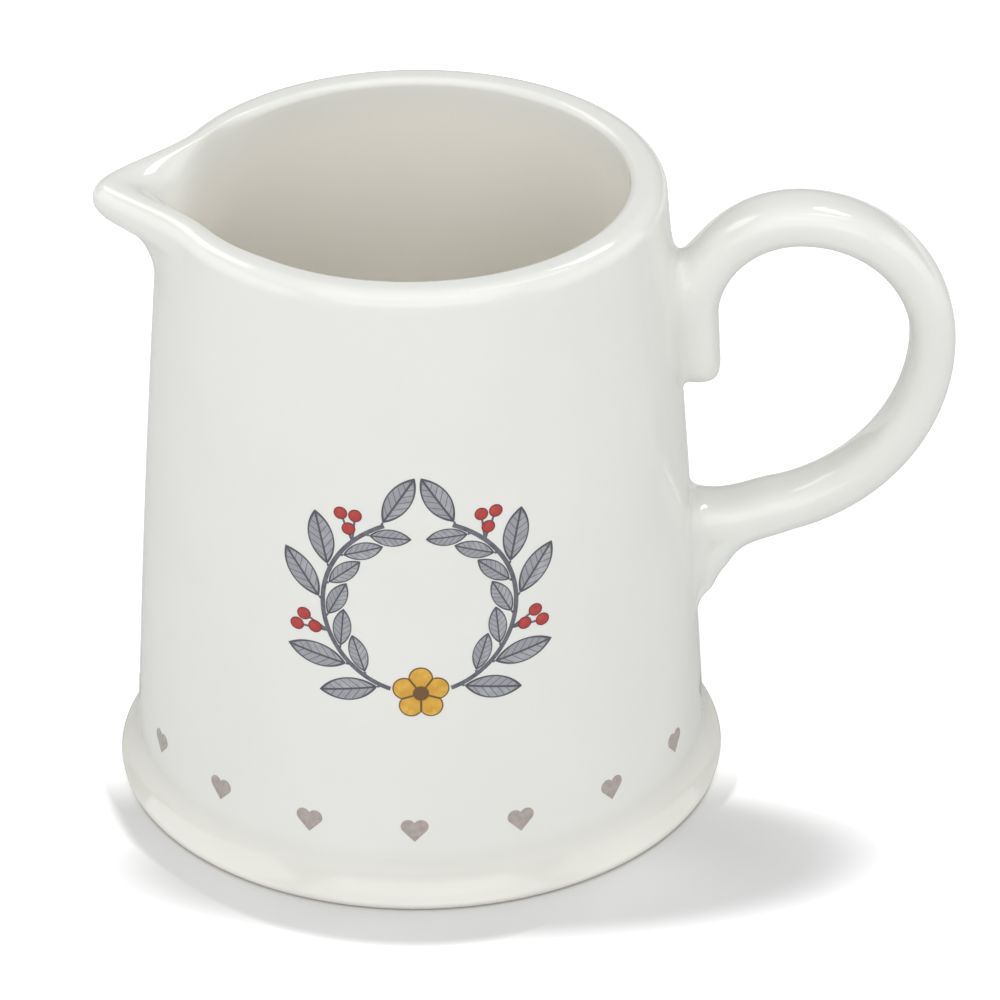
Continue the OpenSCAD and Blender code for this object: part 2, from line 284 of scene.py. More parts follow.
# share of the reach at a height: a hollow arc under the lip, then a brow arc up to its edge
def lipPull(z):
    t = (z - lipZ) / lipRise
    if t < lip["hollow"]:
        return arcTurn(lip["hollow"] * lipArc, max(0, t) * lipRise) / lipReach
    return 1 - arcTurn((1 - lip["hollow"]) * lipArc, (1 - t) * lipRise) / lipReach


# how a point of the plain rim's inside moves when it rolls over into the trough: out, with the lip, down
def rolledOver(r, z, u):
    v = 1 - u
    top, foot = wallRadius(roundZ) - jug["rimRound"] - lip["flat"], wallRadius(lipZ) - jug["wall"]
    near, far = 3 * u * v * v, 3 * u * u * v
    drawn = v ** 3 + near * (1 - lip["lead"])
    newZ = jug["height"] * (v ** 3 + near) + lipZ * (u ** 3 + far) + far * lip["turn"]
    return (top * drawn + foot * (1 - drawn) - r, drawn, newZ - z)


def quarterTurn(first, steps):
    return [math.radians(first + 90 * i / steps) for i in range(steps + 1)]


# half section of the jug from under its middle, round the wall and back to the middle of the floor:
# radius, height, share of the lip's reach, roll and how far inside it is
section = []
still = (0, 0, 0)
disc = [i / jug["discRows"] for i in range(jug["discRows"] + 1)]
ringIn = jug["footRadius"] - jug["footEdge"] - jug["footRing"]
flatEnd = ringIn - jug["recess"]
section += [(flatEnd * t, jug["recess"], 0, still, 0) for t in disc]
section += [(ringIn + x, z, 0, still, 0) for x, z in jug["ringEdge"]]
for a in quarterTurn(-90, jug["edgeRows"]):
    r = jug["footRadius"] - jug["footEdge"] * (1 - math.cos(a))
    section.append((r, jug["footEdge"] * (1 + math.sin(a)), 0, still, 0))
for i in range(1, jug["flareRows"]):
    t = i / jug["flareRows"]
    z = jug["footEdge"] + (jug["footHeight"] - jug["footEdge"]) * t
    r = jug["waistRadius"] + (jug["footRadius"] - jug["waistRadius"]) * (1 - t) ** jug["flarePower"]
    section.append((r, z, 0, still, 0))
wallHeights = [jug["footHeight"] + (lipZ - jug["footHeight"]) * i / jug["wallRows"]
               for i in range(jug["wallRows"])]
lipHeights = [lipZ + lipRise * math.sin(math.pi / 2 * i / lip["rows"]) for i in range(lip["rows"] + 1)]
section += [(wallRadius(z), z, lipPull(z), still, 0) for z in wallHeights + lipHeights]
rimOut = wallRadius(roundZ) - jug["rimRound"]
rimIn = wallRadius(edgeZ) - jug["wall"] + jug["rimEdge"]
for a in quarterTurn(0, jug["roundRows"])[1:]:
    r, z = rimOut + jug["rimRound"] * math.cos(a), roundZ + jug["rimRound"] * math.sin(a)
    section.append((r, z, 1, still, 0))
for i, a in enumerate(quarterTurn(90, jug["roundRows"])):
    r, z = rimIn + jug["rimEdge"] * math.cos(a), edgeZ + jug["rimEdge"] * math.sin(a)
    section.append((r, z, 0, rolledOver(r, z, lip["edgeShare"] * i / jug["roundRows"]), 0))
for i in range(lip["rows"], -1, -1):
    r, z = wallRadius(lipHeights[i]) - jug["wall"], lipHeights[i]
    deep = min(1, (edgeZ - z) / jug["insideTintDepth"])
    section.append((r, z, 0, rolledOver(r, z, 1 - lip["wallShare"] * i / lip["rows"]), deep))
cornerZ = jug["floor"] + jug["floorRound"]
cornerR = wallRadius(cornerZ) - jug["wall"] - jug["floorRound"]
innerHeights = [z for z in reversed(wallHeights) if z > cornerZ + mm]
section += [(wallRadius(z) - jug["wall"], z, 0, still, 1) for z in innerHeights]
for a in quarterTurn(0, jug["roundRows"]):
    r, z = cornerR + jug["floorRound"] * math.cos(a), cornerZ - jug["floorRound"] * math.sin(a)
    section.append((r, z, 0, still, 1))
section += [(cornerR * (1 - t), jug["floor"], 0, still, 1) for t in disc[1:]]

# revolve that section and draw the lip out of it
revolve, ask = newTree("jugRevolve", {
    "Object": ["Section"],
    "Int": ["Columns"],
    "Float": ["Lip Reach", "Lip Half Angle", "Tip Angle", "Plan Power", "Roll Half Angle", "Roll Core Angle",
              "Weld"],
    "Material": ["Glaze"],
})
line = addNode(revolve, "GeometryNodeObjectInfo", {"Object": ask["Section"]}).outputs["Geometry"]
rows = addNode(revolve, "GeometryNodeAttributeDomainSize", {0: line}).outputs["Point Count"]
around = addNode(revolve, calc, {0: ask["Columns"], 1: 1.0}, operation="ADD")
grid = addNode(revolve, "GeometryNodeMeshGrid", {"Vertices X": around, "Vertices Y": rows})
index = addNode(revolve, "GeometryNodeInputIndex")
row = addNode(revolve, calc, {0: index, 1: rows}, operation="MODULO")
ratio = addNode(revolve, calc, {0: index, 1: rows}, operation="DIVIDE")
column = addNode(revolve, calc, {0: ratio}, operation="FLOOR")
spot = addNode(revolve, "GeometryNodeInputPosition")
point = addNode(revolve, "GeometryNodeSampleIndex", {"Geometry": line, "Value": spot, "Index": row},
                data_type="FLOAT_VECTOR")
carried = {}
for label, kind in (("pull", "FLOAT"), ("rolled", "FLOAT_VECTOR"), ("inside", "FLOAT")):
    noted = addNode(revolve, "GeometryNodeInputNamedAttribute", {"Name": label}, data_type=kind)
    sampled = {"Geometry": line, "Value": noted, "Index": row}
    carried[label] = addNode(revolve, "GeometryNodeSampleIndex", sampled, data_type=kind)
curl = addNode(revolve, "ShaderNodeSeparateXYZ", {0: carried["rolled"]}).outputs
flat = addNode(revolve, "ShaderNodeSeparateXYZ", {0: point}).outputs
share = addNode(revolve, calc, {0: column, 1: ask["Columns"]}, operation="DIVIDE")
angle = addNode(revolve, calc, {0: share, 1: 2 * math.pi}, operation="MULTIPLY")
off = addNode(revolve, calc, {0: angle, 1: math.pi}, operation="SUBTRACT")
tip, half = ask["Tip Angle"], ask["Lip Half Angle"]
tip2 = addNode(revolve, calc, {0: tip, 1: tip}, operation="MULTIPLY")
off2 = addNode(revolve, calc, {0: off, 1: off, 2: tip2}, operation="MULTIPLY_ADD")
half2 = addNode(revolve, calc, {0: half, 1: half, 2: tip2}, operation="MULTIPLY_ADD")
offRoot = addNode(revolve, calc, {0: off2}, operation="SQRT")
halfRoot = addNode(revolve, calc, {0: half2}, operation="SQRT")
offSoft = addNode(revolve, calc, {0: offRoot, 1: tip}, operation="SUBTRACT")
halfSoft = addNode(revolve, calc, {0: halfRoot, 1: tip}, operation="SUBTRACT")
away = addNode(revolve, calc, {0: offSoft, 1: halfSoft}, operation="DIVIDE")
near = addNode(revolve, calc, {0: 1.0, 1: away}, operation="SUBTRACT", use_clamp=True)
plan = addNode(revolve, calc, {0: near, 1: ask["Plan Power"]}, operation="POWER")
out = addNode(revolve, calc, {0: plan, 1: ask["Lip Reach"]}, operation="MULTIPLY")
wide = addNode(revolve, calc, {0: off}, operation="ABSOLUTE")
roll = addNode(revolve, mapRange, fade(wide, (ask["Roll Half Angle"], ask["Roll Core Angle"])), **softly)
pulled = addNode(revolve, calc, {0: out, 1: carried["pull"], 2: flat["X"]}, operation="MULTIPLY_ADD")
trough = addNode(revolve, calc, {0: out, 1: curl["Y"], 2: curl["X"]}, operation="MULTIPLY_ADD")
reach = addNode(revolve, calc, {0: trough, 1: roll, 2: pulled}, operation="MULTIPLY_ADD")
sunk = addNode(revolve, calc, {0: curl["Z"], 1: roll, 2: flat["Z"]}, operation="MULTIPLY_ADD")
cosine = addNode(revolve, calc, {0: angle}, operation="COSINE")
sine = addNode(revolve, calc, {0: angle}, operation="SINE")
pointX = addNode(revolve, calc, {0: reach, 1: cosine}, operation="MULTIPLY")
pointY = addNode(revolve, calc, {0: reach, 1: sine}, operation="MULTIPLY")
turned = addNode(revolve, "ShaderNodeCombineXYZ", {0: pointX, 1: pointY, 2: sunk})
lined = addNode(revolve, "GeometryNodeStoreNamedAttribute", {"Geometry": grid, "Name": "inside",
                                                             "Value": carried["inside"]},
                data_type="FLOAT", domain="POINT")
skin = addNode(revolve, "GeometryNodeSetPosition", {"Geometry": lined, "Position": turned})
closed = addNode(revolve, "GeometryNodeMergeByDistance", {"Geometry": skin, "Distance": ask["Weld"]})
smooth = addNode(revolve, "GeometryNodeSetShadeSmooth", {"Geometry": closed})
endTree(revolve, smooth, ask["Glaze"])

profile = helperLine("jugSection", [(p[0], 0, p[1]) for p in section], pull=[p[2] for p in section],
                     rolled=[p[3] for p in section], inside=[p[4] for p in section])
jugBody = bakeTree("jugBody", revolve, {
    "Section": profile,
    "Columns": jug["columns"],
    "Weld": jug["weld"],
    "Lip Reach": lipReach,
    "Lip Half Angle": lip["half"],
    "Tip Angle": lip["tip"],
    "Plan Power": lip["plan"],
    "Roll Half Angle": lip["rollHalf"],
    "Roll Core Angle": lip["rollCore"],
    "Glaze": glaze,
})
clearAway(profile)
settle(jugBody, "stoneware_glaze", "jug_body")

# the strap handle, one pulled strap with a bend at each end, and the slip that sticks it on
strap = {
    "thick": 8.2 * mm,
    "width": 2 * handleHigh.y,
    "roundness": 2.75,
    "padHeight": jug["height"] - 27.5 * mm,
    "padLength": 8.5 * mm,
    "padReach": 13.6 * mm,
    "padLean": 0.8 * mm,
    "padEdge": 5 * mm,
    "padRunOn": 2 * mm,  # its line runs on below its end, which is cut square
    "bend": 18 * mm,
    "shoulder": 25 * mm,
    "sweep": 35 * mm,
    "sweepAngle": math.radians(74),
    "arm": 6 * mm,
    "armTurn": 36 * mm,
    "armRoot": 2 * mm,
    "tail": 16 * mm,
    "tailStop": math.radians(4),
    "tailEnd": 3 * mm,
    "tailThin": 0.9 * mm,
    "tailTaper": 0.3,
    "tailTop": 6 * mm,  # the taper starts this far above the centre of the tail's turn
    "tailBlend": 3.5 * mm,
    "bite": 1.5 * mm,
    "crotch": 6 * mm,
    "slipTop": 8 * mm,
    "slipPad": 2.5 * mm,
    "slipFoot": 4.5 * mm,
    "root": 0.6 * mm,
    "cell": 0.4 * mm,
    "easing": 3,
    "roomSide": 1.5 * mm,  # room for the field round the handle: beside the slip, outside, and in the wall
    "roomOut": 2 * mm,
    "roomIn": 8 * mm,
    "bendSteps": 60,
    "shoulderSteps": 70,
    "sweepSteps": 90,
    "armSteps": 24,
    "tailSteps": 40,
}


def turnAbout(cx, cz, r, first, last, steps):
    bearings = [first + (last - first) * i / steps for i in range(steps + 1)]
    return [(cx + r * math.cos(a), 0, cz + r * math.sin(a)) for a in bearings]


padX = wallRadius(strap["padHeight"] - strap["padLength"]) + strap["thick"] / 2 - strap["bite"]
bendX = padX + strap["bend"]
shoulderZ = strap["padHeight"] + strap["bend"] - strap["shoulder"]
sweepX = bendX + strap["shoulder"] - strap["sweep"]
dip = strap["sweepAngle"]
padEnd = strap["padHeight"] - strap["padReach"]
pad = [(padX, 0, strap["padHeight"]), (padX + strap["padLean"], 0, padEnd - strap["padRunOn"])]
loop = turnAbout(bendX, strap["padHeight"], strap["bend"], math.pi, math.pi / 2, strap["bendSteps"])
loop += turnAbout(bendX, shoulderZ, strap["shoulder"], math.pi / 2, 0, strap["shoulderSteps"])[1:]
loop += turnAbout(sweepX, shoulderZ, strap["sweep"], 0, -dip, strap["sweepSteps"])[1:]
endX, endZ = loop[-1][0], loop[-1][2]
armX, armZ = endX - math.sin(dip) * strap["arm"], endZ - math.cos(dip) * strap["arm"]
levelX, levelZ = armX - math.cos(dip) * strap["armTurn"], armZ + math.sin(dip) * strap["armTurn"]
loop += turnAbout(levelX, levelZ, strap["armTurn"], -dip, -math.pi / 2, strap["armSteps"])
loop.append((wallRadius(loop[-1][2]) - strap["bite"] - strap["armRoot"], 0, loop[-1][2]))
tailX = wallRadius(endZ - strap["tail"]) + strap["thick"] / 2 - strap["tailThin"] - strap["bite"]
run = (endX - tailX - strap["tail"] * (1 - math.cos(dip))) / math.sin(dip)
turnX = endX - math.sin(dip) * run + strap["tail"] * math.cos(dip)
turnZ = endZ - math.cos(dip) * run - strap["tail"] * math.sin(dip)
tail = turnAbout(turnX, turnZ, strap["tail"], math.pi - dip, math.pi - strap["tailStop"], strap["tailSteps"])
tail.append((tail[-1][0] - strap["tailEnd"], 0, tail[-1][2] - strap["tailEnd"]))  # runs out into the wall
tail.append((loop[-2][0], 0, loop[-2][2]))  # and back up it, so no pocket is left under the arm

# a field of distances to the centre line and to the wall, run together softly where slip fills the corner
blend, ask = newTree("handleBlend", {
    "Object": ["Loop", "Pad", "Tail"],
    "Float": ["Thickness", "Width", "Roundness", "Root", "Pad End", "Pad Edge", "Pad Slip", "Crotch Height",
              "Crotch Slip", "Arm Height", "Arm Slip", "Tail Thinning", "Tail Taper", "Tail Height",
              "Tail Blend"],
    "Vector": ["Low Corner", "High Corner"],
    "Int": ["Cells X", "Cells Y", "Cells Z", "Easing"],
    "Material": ["Glaze"],
})
spot = addNode(blend, "GeometryNodeInputPosition")
axes = addNode(blend, "ShaderNodeSeparateXYZ", {0: spot}).outputs
onPlane = addNode(blend, "ShaderNodeCombineXYZ", {0: axes["X"], 2: axes["Z"]})
gaps = {}
for label in ("Loop", "Pad", "Tail"):
    stretch = addNode(blend, "GeometryNodeObjectInfo", {"Object": ask[label]}).outputs["Geometry"]
    gaps[label] = addNode(blend, "GeometryNodeProximity", {"Geometry": stretch, "Sample Position": onPlane},
                          target_element="EDGES").outputs["Distance"]
halfThick = addNode(blend, calc, {0: ask["Thickness"], 1: 0.5}, operation="MULTIPLY")
padBelow = addNode(blend, calc, {0: ask["Pad End"], 1: axes["Z"]}, operation="SUBTRACT")
padBelow = addNode(blend, calc, {0: padBelow, 1: halfThick}, operation="ADD")
squared = addNode(blend, calc, {0: gaps["Pad"], 1: padBelow, 2: ask["Pad Edge"]}, operation="SMOOTH_MAX")
upper = addNode(blend, calc, {0: gaps["Loop"], 1: squared}, operation="MINIMUM")
tailBelow = addNode(blend, calc, {0: ask["Tail Height"], 1: axes["Z"]}, operation="SUBTRACT")
tailBelow = addNode(blend, calc, {0: tailBelow, 1: 0.0}, operation="MAXIMUM")
thinner = addNode(blend, calc, {0: tailBelow, 1: ask["Tail Taper"], 2: ask["Tail Thinning"]},
                  operation="MULTIPLY_ADD")
thinTail = addNode(blend, calc, {0: gaps["Tail"], 1: thinner}, operation="ADD")
inPlane = addNode(blend, calc, {0: upper, 1: thinTail, 2: ask["Tail Blend"]}, operation="SMOOTH_MIN")
inPlane = addNode(blend, calc, {0: inPlane, 1: 0.0}, operation="MAXIMUM")
slim = addNode(blend, calc, {0: ask["Thickness"], 1: ask["Width"]}, operation="DIVIDE")
aside = addNode(blend, calc, {0: axes["Y"]}, operation="ABSOLUTE")
aside = addNode(blend, calc, {0: aside, 1: slim}, operation="MULTIPLY")
powIn = addNode(blend, calc, {0: inPlane, 1: ask["Roundness"]}, operation="POWER")
powSide = addNode(blend, calc, {0: aside, 1: ask["Roundness"]}, operation="POWER")
both = addNode(blend, calc, {0: powIn, 1: powSide}, operation="ADD")
inverse = addNode(blend, calc, {0: 1.0, 1: ask["Roundness"]}, operation="DIVIDE")
oval = addNode(blend, calc, {0: both, 1: inverse}, operation="POWER")
toStrap = addNode(blend, calc, {0: oval, 1: halfThick}, operation="SUBTRACT")
wall = addNode(blend, "GeometryNodeGroup", {"Height": axes["Z"], **wallSizes}, node_tree=wallTree)
level = addNode(blend, "ShaderNodeCombineXYZ", {0: axes["X"], 1: axes["Y"]})
span = addNode(blend, vectorCalc, {0: level}, operation="LENGTH").outputs["Value"]
toWall = addNode(blend, calc, {0: span, 1: wall}, operation="SUBTRACT")
upward = fade(axes["Z"], (ask["Pad End"], ask["Crotch Height"]), ask["Crotch Slip"])
crotch = addNode(blend, mapRange, {**upward, "To Min": ask["Pad Slip"]}, **softly)
lower = addNode(blend, calc, {0: axes["Z"], 1: ask["Arm Height"]}, operation="LESS_THAN")
slip = addNode(blend, "GeometryNodeSwitch", {"Switch": lower, "False": crotch, "True": ask["Arm Slip"]},
               input_type="FLOAT")
stuck = addNode(blend, calc, {0: toStrap, 1: toWall, 2: slip}, operation="SMOOTH_MIN")
deep = addNode(blend, calc, {0: toWall, 1: ask["Root"]}, operation="ADD")
deep = addNode(blend, calc, {0: deep, 1: -1.0}, operation="MULTIPLY")
edge = addNode(blend, calc, {0: toStrap, 1: slip}, operation="SUBTRACT")
cut = addNode(blend, calc, {0: deep, 1: edge}, operation="MAXIMUM")
shape = addNode(blend, calc, {0: stuck, 1: cut}, operation="MAXIMUM")
density = addNode(blend, calc, {0: shape, 1: -1.0}, operation="MULTIPLY")
block = addNode(blend, "GeometryNodeVolumeCube", {"Density": density, "Background": -1.0,
                                                  "Min": ask["Low Corner"], "Max": ask["High Corner"],
                                                  "Resolution X": ask["Cells X"],
                                                  "Resolution Y": ask["Cells Y"],
                                                  "Resolution Z": ask["Cells Z"]})
mesh = addNode(blend, "GeometryNodeVolumeToMesh", {"Volume": block, "Threshold": 0.0})
blur = addNode(blend, "GeometryNodeBlurAttribute", {"Value": spot, "Iterations": ask["Easing"]},
               data_type="FLOAT_VECTOR")
eased = addNode(blend, "GeometryNodeSetPosition", {"Geometry": mesh, "Position": blur})
smooth = addNode(blend, "GeometryNodeSetShadeSmooth", {"Geometry": eased})
endTree(blend, smooth, ask["Glaze"])

lines = {"Loop": helperLine("handleLoop", loop), "Pad": helperLine("handlePad", pad),
         "Tail": helperLine("handleTail", tail)}
margin = strap["slipTop"] + strap["roomSide"]
low = Vector((wallRadius(handleHigh.z) - strap["roomIn"], handleLow.y - margin, handleLow.z - margin))
high = Vector((handleHigh.x + strap["roomOut"], handleHigh.y + margin, handleHigh.z + strap["roomOut"]))
cells = [round((high[i] - low[i]) / strap["cell"]) for i in range(3)]
handle = bakeTree("strapHandle", blend, {
    **lines,
    "Thickness": strap["thick"],
    "Width": strap["width"],
    "Roundness": strap["roundness"],
    "Pad End": padEnd,
    "Pad Edge": strap["padEdge"],
    "Tail Thinning": strap["tailThin"],
    "Tail Taper": strap["tailTaper"],
    "Tail Height": turnZ + strap["tailTop"],
    "Tail Blend": strap["tailBlend"],
    "Crotch Height": strap["padHeight"] + strap["crotch"],
    "Crotch Slip": strap["slipTop"],
    "Pad Slip": strap["slipPad"],
    "Arm Height": (padEnd + endZ) / 2,
    "Arm Slip": strap["slipFoot"],
    "Root": strap["root"],
    "Low Corner": list(low),
    "High Corner": list(high),
    "Cells X": cells[0],
    "Cells Y": cells[1],
    "Cells Z": cells[2],
    "Easing": strap["easing"],
    "Glaze": glaze,
})
clearAway(*lines.values())
settle(handle, "stoneware_glaze", "handle", "upper_slip_joint", "lower_slip_joint")

printBack = -0.1 * mm  # a print's back lies this deep in the glaze


# a flat print as a closed wafer: rings drawn in from its outline, with the distance to it on each point
def wafer(name, outline, rings, proud):
    n = len(outline)
    midX = sum(x for x, z in outline) / n
    midZ = sum(z for x, z in outline) / n
    points = [(midX, midZ)]
    for k in range(1, rings + 1):
        points += [(midX + (x - midX) * k / rings, midZ + (z - midZ) * k / rings) for x, z in outline]
    total = len(points)
    last = 1 + (rings - 1) * n
    faces = []
    for back in (0, total):
        for j in range(n):
            i = (j + 1) % n
            patch = [(back, back + 1 + j, back + 1 + i)]
            for k in range(1, rings):
                inner, outer = back + 1 + (k - 1) * n, back + 1 + k * n
                patch.append((inner + j, outer + j, outer + i, inner + i))
            faces += patch if back else [face[::-1] for face in patch]
    for j in range(n):
        i = (j + 1) % n
        faces.append((last + j, last + i, total + last + i, total + last + j))
    gaps = [min(math.hypot(x - a, z - b) for a, b in outline) for x, z in points]
    obj = helper(name, [(x, 0, z) for x, z in points] * 2, (), faces,
                 depth=[proud] * total + [printBack] * total, edge=gaps * 2)
    flat = obj.data.uv_layers.new(name="print")
    for corner in obj.data.loops:
        x, y, z = obj.data.vertices[corner.vertex_index].co
        flat.data[corner.index].uv = (x, z)
    return obj


# press prints on the front of the wall: a wafer on each point, turned and sized as the point says
press, ask = newTree("printOnWall", {"Geometry": ["Geometry"], "Object": ["Print"], "Int": ["Seed"],
                                     "Material": ["Ink"]})
printed = addNode(press, "GeometryNodeObjectInfo", {"Object": ask["Print"]}).outputs["Geometry"]
turn = addNode(press, "GeometryNodeInputNamedAttribute", {"Name": "turn"}, data_type="FLOAT")
size = addNode(press, "GeometryNodeInputNamedAttribute", {"Name": "size"}, data_type="FLOAT_VECTOR")
lean = addNode(press, calc, {0: turn, 1: -1.0}, operation="MULTIPLY")
about = addNode(press, "ShaderNodeCombineXYZ", {1: lean})
spin = addNode(press, "FunctionNodeEulerToRotation", {0: about})
placed = addNode(press, "GeometryNodeInstanceOnPoints", {"Points": ask["Geometry"], "Instance": printed,
                                                         "Rotation": spin, "Scale": size})
chance = addNode(press, "FunctionNodeRandomValue", {"Seed": ask["Seed"]}, data_type="FLOAT").outputs[1]
toned = addNode(press, "GeometryNodeStoreNamedAttribute", {"Geometry": placed, "Name": "tone",
                                                           "Value": chance},
                data_type="FLOAT", domain="INSTANCE")
real = addNode(press, "GeometryNodeRealizeInstances", {"Geometry": toned})
spot = addNode(press, "GeometryNodeInputPosition")
axes = addNode(press, "ShaderNodeSeparateXYZ", {0: spot}).outputs
wall = addNode(press, "GeometryNodeGroup", {"Height": axes["Z"], **wallSizes}, node_tree=wallTree)
depth = addNode(press, "GeometryNodeInputNamedAttribute", {"Name": "depth"}, data_type="FLOAT")
raised = addNode(press, calc, {0: wall, 1: depth}, operation="ADD")
raised2 = addNode(press, calc, {0: raised, 1: raised}, operation="MULTIPLY")
across2 = addNode(press, calc, {0: axes["X"], 1: axes["X"]}, operation="MULTIPLY")
forward2 = addNode(press, calc, {0: raised2, 1: across2}, operation="SUBTRACT")
forward = addNode(press, calc, {0: forward2}, operation="SQRT")
front = addNode(press, calc, {0: forward, 1: -1.0}, operation="MULTIPLY")
onWall = addNode(press, "ShaderNodeCombineXYZ", {0: axes["X"], 1: front, 2: axes["Z"]})
wrapped = addNode(press, "GeometryNodeSetPosition", {"Geometry": real, "Position": onWall})
endTree(press, wrapped, ask["Ink"])


def pressPrint(name, flat, look, seats, turns, sizes):
    spots = helper(name + "Seats", seats, turn=turns, size=sizes)
    piece = bakeTree(name, press, {"Print": flat, "Seed": look["seed"], "Ink": look["ink"]}, spots.data)
    clearAway(flat, spots)
    return piece


petalCount = 5


# what is drawn inside an outline: how far each point takes the shade colour, and its own lines if it has any
def leafMarks(tree, look, uv, flat):
    tone = addNode(tree, "ShaderNodeAttribute", attribute_name="tone").outputs["Fac"]
    across = addNode(tree, calc, {0: flat["Y"]}, operation="ABSOLUTE")
    rib = addNode(tree, mapRange, fade(across, look["rib"]), **softly)
    sweep = addNode(tree, calc, {0: across, 1: look["veinSlant"], 2: flat["X"]}, operation="MULTIPLY_ADD")
    many = addNode(tree, calc, {0: sweep, 1: look["veins"]}, operation="MULTIPLY")
    wave = addNode(tree, calc, {0: many, 1: 0.5}, operation="PINGPONG")
    vein = addNode(tree, mapRange, fade(wave, look["vein"], look["veinShare"]), **softly)
    marks = addNode(tree, calc, {0: rib, 1: vein}, operation="MAXIMUM")
    lit = addNode(tree, mapRange, fade(flat["Y"], (-look["fold"], look["fold"]), look["foldShade"]))
    return addNode(tree, calc, {0: tone, 1: look["spread"], 2: lit}, operation="MULTIPLY_ADD"), marks


def berryMarks(tree, look, uv, flat):
    far = addNode(tree, vectorCalc, {0: uv, 1: look["shine"]}, operation="DISTANCE").outputs["Value"]
    return addNode(tree, mapRange, fade(far, look["shineEdge"])), None


def flowerMarks(tree, look, uv, flat):
    far = addNode(tree, vectorCalc, {0: uv}, operation="LENGTH").outputs["Value"]
    bearing = addNode(tree, calc, {0: flat["X"], 1: flat["Y"]}, operation="ARCTAN2")
    petals = addNode(tree, calc, {0: bearing, 1: petalCount / (2 * math.pi), 2: petalCount + 0.5},
                     operation="MULTIPLY_ADD")
    between = addNode(tree, calc, {0: petals, 1: 0.5}, operation="PINGPONG")
    gap = addNode(tree, calc, {0: between, 1: far}, operation="MULTIPLY")
    split = addNode(tree, mapRange, fade(gap, look["split"]), **softly)
    middle = addNode(tree, mapRange, fade(far, look["middle"]), **softly)
    marks = addNode(tree, calc, {0: split, 1: middle}, operation="MAXIMUM")
    return addNode(tree, mapRange, fade(far, look["blush"], look["blushShare"])), marks


# ceramic transfer ink fired under the clear glaze: mottled colour with drawn lines, as glossy as the wall;
# lines and marks are shares of a print's length, and where two edges are given the mark fades between them
inks = {
    "heart": {"fill": "#a89e99", "shade": "#b5aca7", "grain": 0.9 * mm, "seed": 1},
    "stem": {"fill": "#5a5b65", "shade": "#6f717a", "grain": 1.2 * mm, "seed": 1},
    "leaf": {
        "fill": "#b3b5b9", "shade": "#9a9ca2", "grain": 1.6 * mm, "seed": 7,
        "line": "#54555e", "lineWidth": 0.055, "marks": leafMarks,
        "rib": (0.055, 0.03), "veins": 7.0, "veinSlant": -0.42, "vein": (0.1, 0.04), "veinShare": 0.75,
        "fold": 0.02, "foldShade": 0.55, "spread": 0.35,
    },
    "berry": {
        "fill": "#c94b43", "shade": "#b03c39", "grain": 0.8 * mm, "seed": 3,
        "line": "#6a2a2c", "lineWidth": 0.07, "marks": berryMarks,
        "shine": (-0.15, 0.17, 0), "shineEdge": (0.1, 0.55),
    },
    "flower": {
        "fill": "#e6b94e", "shade": "#d49f38", "grain": 1.5 * mm, "seed": 5,
        "line": "#6d5230", "lineWidth": 0.045, "marks": flowerMarks,
        "split": (0.04, 0.02), "middle": (0.3, 0.26), "blush": (0.75, 0.3), "blushShare": 0.9,
    },
}
mottling = (0.35, 0.65)
lineSoftness = (1.3, 0.7)
for kind, look in inks.items():
    look["ink"], tree, gloss = newFinish(kind + " transfer ink under glaze")
    gloss.inputs["IOR"].default_value = glazeLook["ior"]
    gloss.inputs["Roughness"].default_value = glazeLook["roughness"]
    place = addNode(tree, "ShaderNodeTexCoord").outputs["Object"]
    grain = addNode(tree, noise, {"Vector": place, "Scale": 1 / look["grain"], "Detail": 3.0})
    mottle = addNode(tree, mapRange, fade(grain, mottling))
    shade = hexToLinear(look["shade"])
    tint = addNode(tree, mixer, {0: mottle, 6: hexToLinear(look["fill"]), 7: shade}, data_type="RGBA")
    if "marks" in look:
        uv = addNode(tree, "ShaderNodeUVMap", uv_map="print")
        flat = addNode(tree, "ShaderNodeSeparateXYZ", {0: uv}).outputs
        dull, marks = look["marks"](tree, look, uv, flat)
        rimGap = addNode(tree, "ShaderNodeAttribute", attribute_name="edge").outputs["Fac"]
        drawn = addNode(tree, mapRange, fade(rimGap, [look["lineWidth"] * k for k in lineSoftness]), **softly)
        if marks:
            drawn = addNode(tree, calc, {0: drawn, 1: marks}, operation="MAXIMUM")
        tint = addNode(tree, mixer, {0: dull, 6: tint.outputs[2], 7: shade}, data_type="RGBA")
        tint = addNode(tree, mixer, {0: drawn, 6: tint.outputs[2], 7: hexToLinear(look["line"])},
                       data_type="RGBA")
    tree.links.new(tint.outputs[2], gloss.inputs["Base Color"])
print("inks mixed")

# the ring of hearts
hearts = {
    "count": 17,
    "height": 14.9 * mm,
    "width": 5 * mm,
    "lobe": 0.27,  # shares of the width: radius and height of a lobe, and drop of the point
    "lobeRise": 0.18,
    "drop": 0.45,
    "lobeSteps": 20,
    "sideSteps": 8,
    "rings": 5,
    "turn": math.radians(-1.65),
    "proud": 0.05 * mm,
}


def heartOutline(w, steps, sideSteps):
    lobeR, tipZ = w * hearts["lobe"], -w * hearts["drop"]
    lobeX, lobeZ = w / 2 - lobeR, w * hearts["lobeRise"]
    side = math.atan2(lobeZ - tipZ, lobeX) - math.asin(lobeR / math.hypot(lobeX, lobeZ - tipZ))
    first, last = side - math.pi / 2, math.pi - math.acos(lobeX / lobeR)
    bearings = [first + (last - first) * i / steps for i in range(steps + 1)]
    lobe = [(lobeX + lobeR * math.cos(a), lobeZ + lobeR * math.sin(a)) for a in bearings]
    startX, startZ = lobe[0]
    right = [(startX * t / sideSteps, tipZ + (startZ - tipZ) * t / sideSteps) for t in range(sideSteps)]
    right += lobe
    return right + [(-x, z) for x, z in reversed(right[1:-1])]


